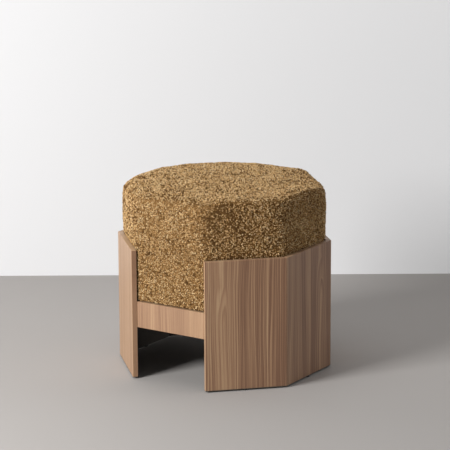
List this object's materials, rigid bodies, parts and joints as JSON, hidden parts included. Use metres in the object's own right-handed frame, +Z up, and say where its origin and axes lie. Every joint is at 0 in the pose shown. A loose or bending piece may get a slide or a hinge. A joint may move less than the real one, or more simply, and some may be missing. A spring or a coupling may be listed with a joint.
{
  "type": "octagonal pouf",
  "caption": "Eight-sided pouf: two mitred wood-veneer shells with open facets and short aprons hold a tall looped-cloth upholstered seat that lifts out.",
  "frame": {"origin": "on the floor under the middle of the pouf, in the plane of the glides' undersides", "axes": "+Z up; -Y out of the front open facet; +X to the right seen from the front"},
  "size_m": [0.46, 0.4518, 0.4398],
  "materials": {
    "veneer": "matte",
    "hardwood": "matte",
    "plywood": "matte",
    "boucle": "matte",
    "foam": "matte",
    "wadding": "matte",
    "dust_cloth": "matte",
    "zinc_steel": "satin",
    "nylon": "matte"
  },
  "bodies": {
    "case": {"front_right_panel": "veneer", "right_panel": "veneer", "back_right_panel": "veneer", "back_left_panel": "veneer", "left_panel": "veneer", "front_left_panel": "veneer", "front_apron": "veneer", "back_apron": "veneer", "front_right_glide": "nylon", "right_glide": "nylon", "back_right_glide": "nylon", "back_left_glide": "nylon", "left_glide": "nylon", "front_left_glide": "nylon", "front_right_to_right_spline": "hardwood", "right_to_back_right_spline": "hardwood", "back_left_to_left_spline": "hardwood", "left_to_front_left_spline": "hardwood", "front_cleat": "hardwood", "front_right_cleat": "hardwood", "right_cleat": "hardwood", "back_right_cleat": "hardwood", "back_cleat": "hardwood", "back_left_cleat": "hardwood", "left_cleat": "hardwood", "front_left_cleat": "hardwood", "front_left_block": "hardwood", "front_right_block": "hardwood", "back_left_block": "hardwood", "back_right_block": "hardwood", "deck": "plywood", "cleat_screws": "zinc_steel", "block_screws": "zinc_steel", "deck_screws": "zinc_steel", "glide_nails": "zinc_steel"},
    "seat": {"front_seat_board": "plywood", "front_right_seat_board": "plywood", "right_seat_board": "plywood", "back_right_seat_board": "plywood", "back_seat_board": "plywood", "back_left_seat_board": "plywood", "left_seat_board": "plywood", "front_left_seat_board": "plywood", "seat_base_board": "plywood", "seat_top_board": "plywood", "side_foam": "foam", "top_foam": "foam", "wadding": "wadding", "seat_cover": "boucle", "dust_cover": "dust_cloth", "staples": "zinc_steel", "seat_screws": "zinc_steel"}
  },
  "joints": [
    {"name": "seat_lift", "type": "slide", "parent": "case", "child": "seat", "axis": [0, 0, 1], "range_m": [0, 0.15]}
  ]
}
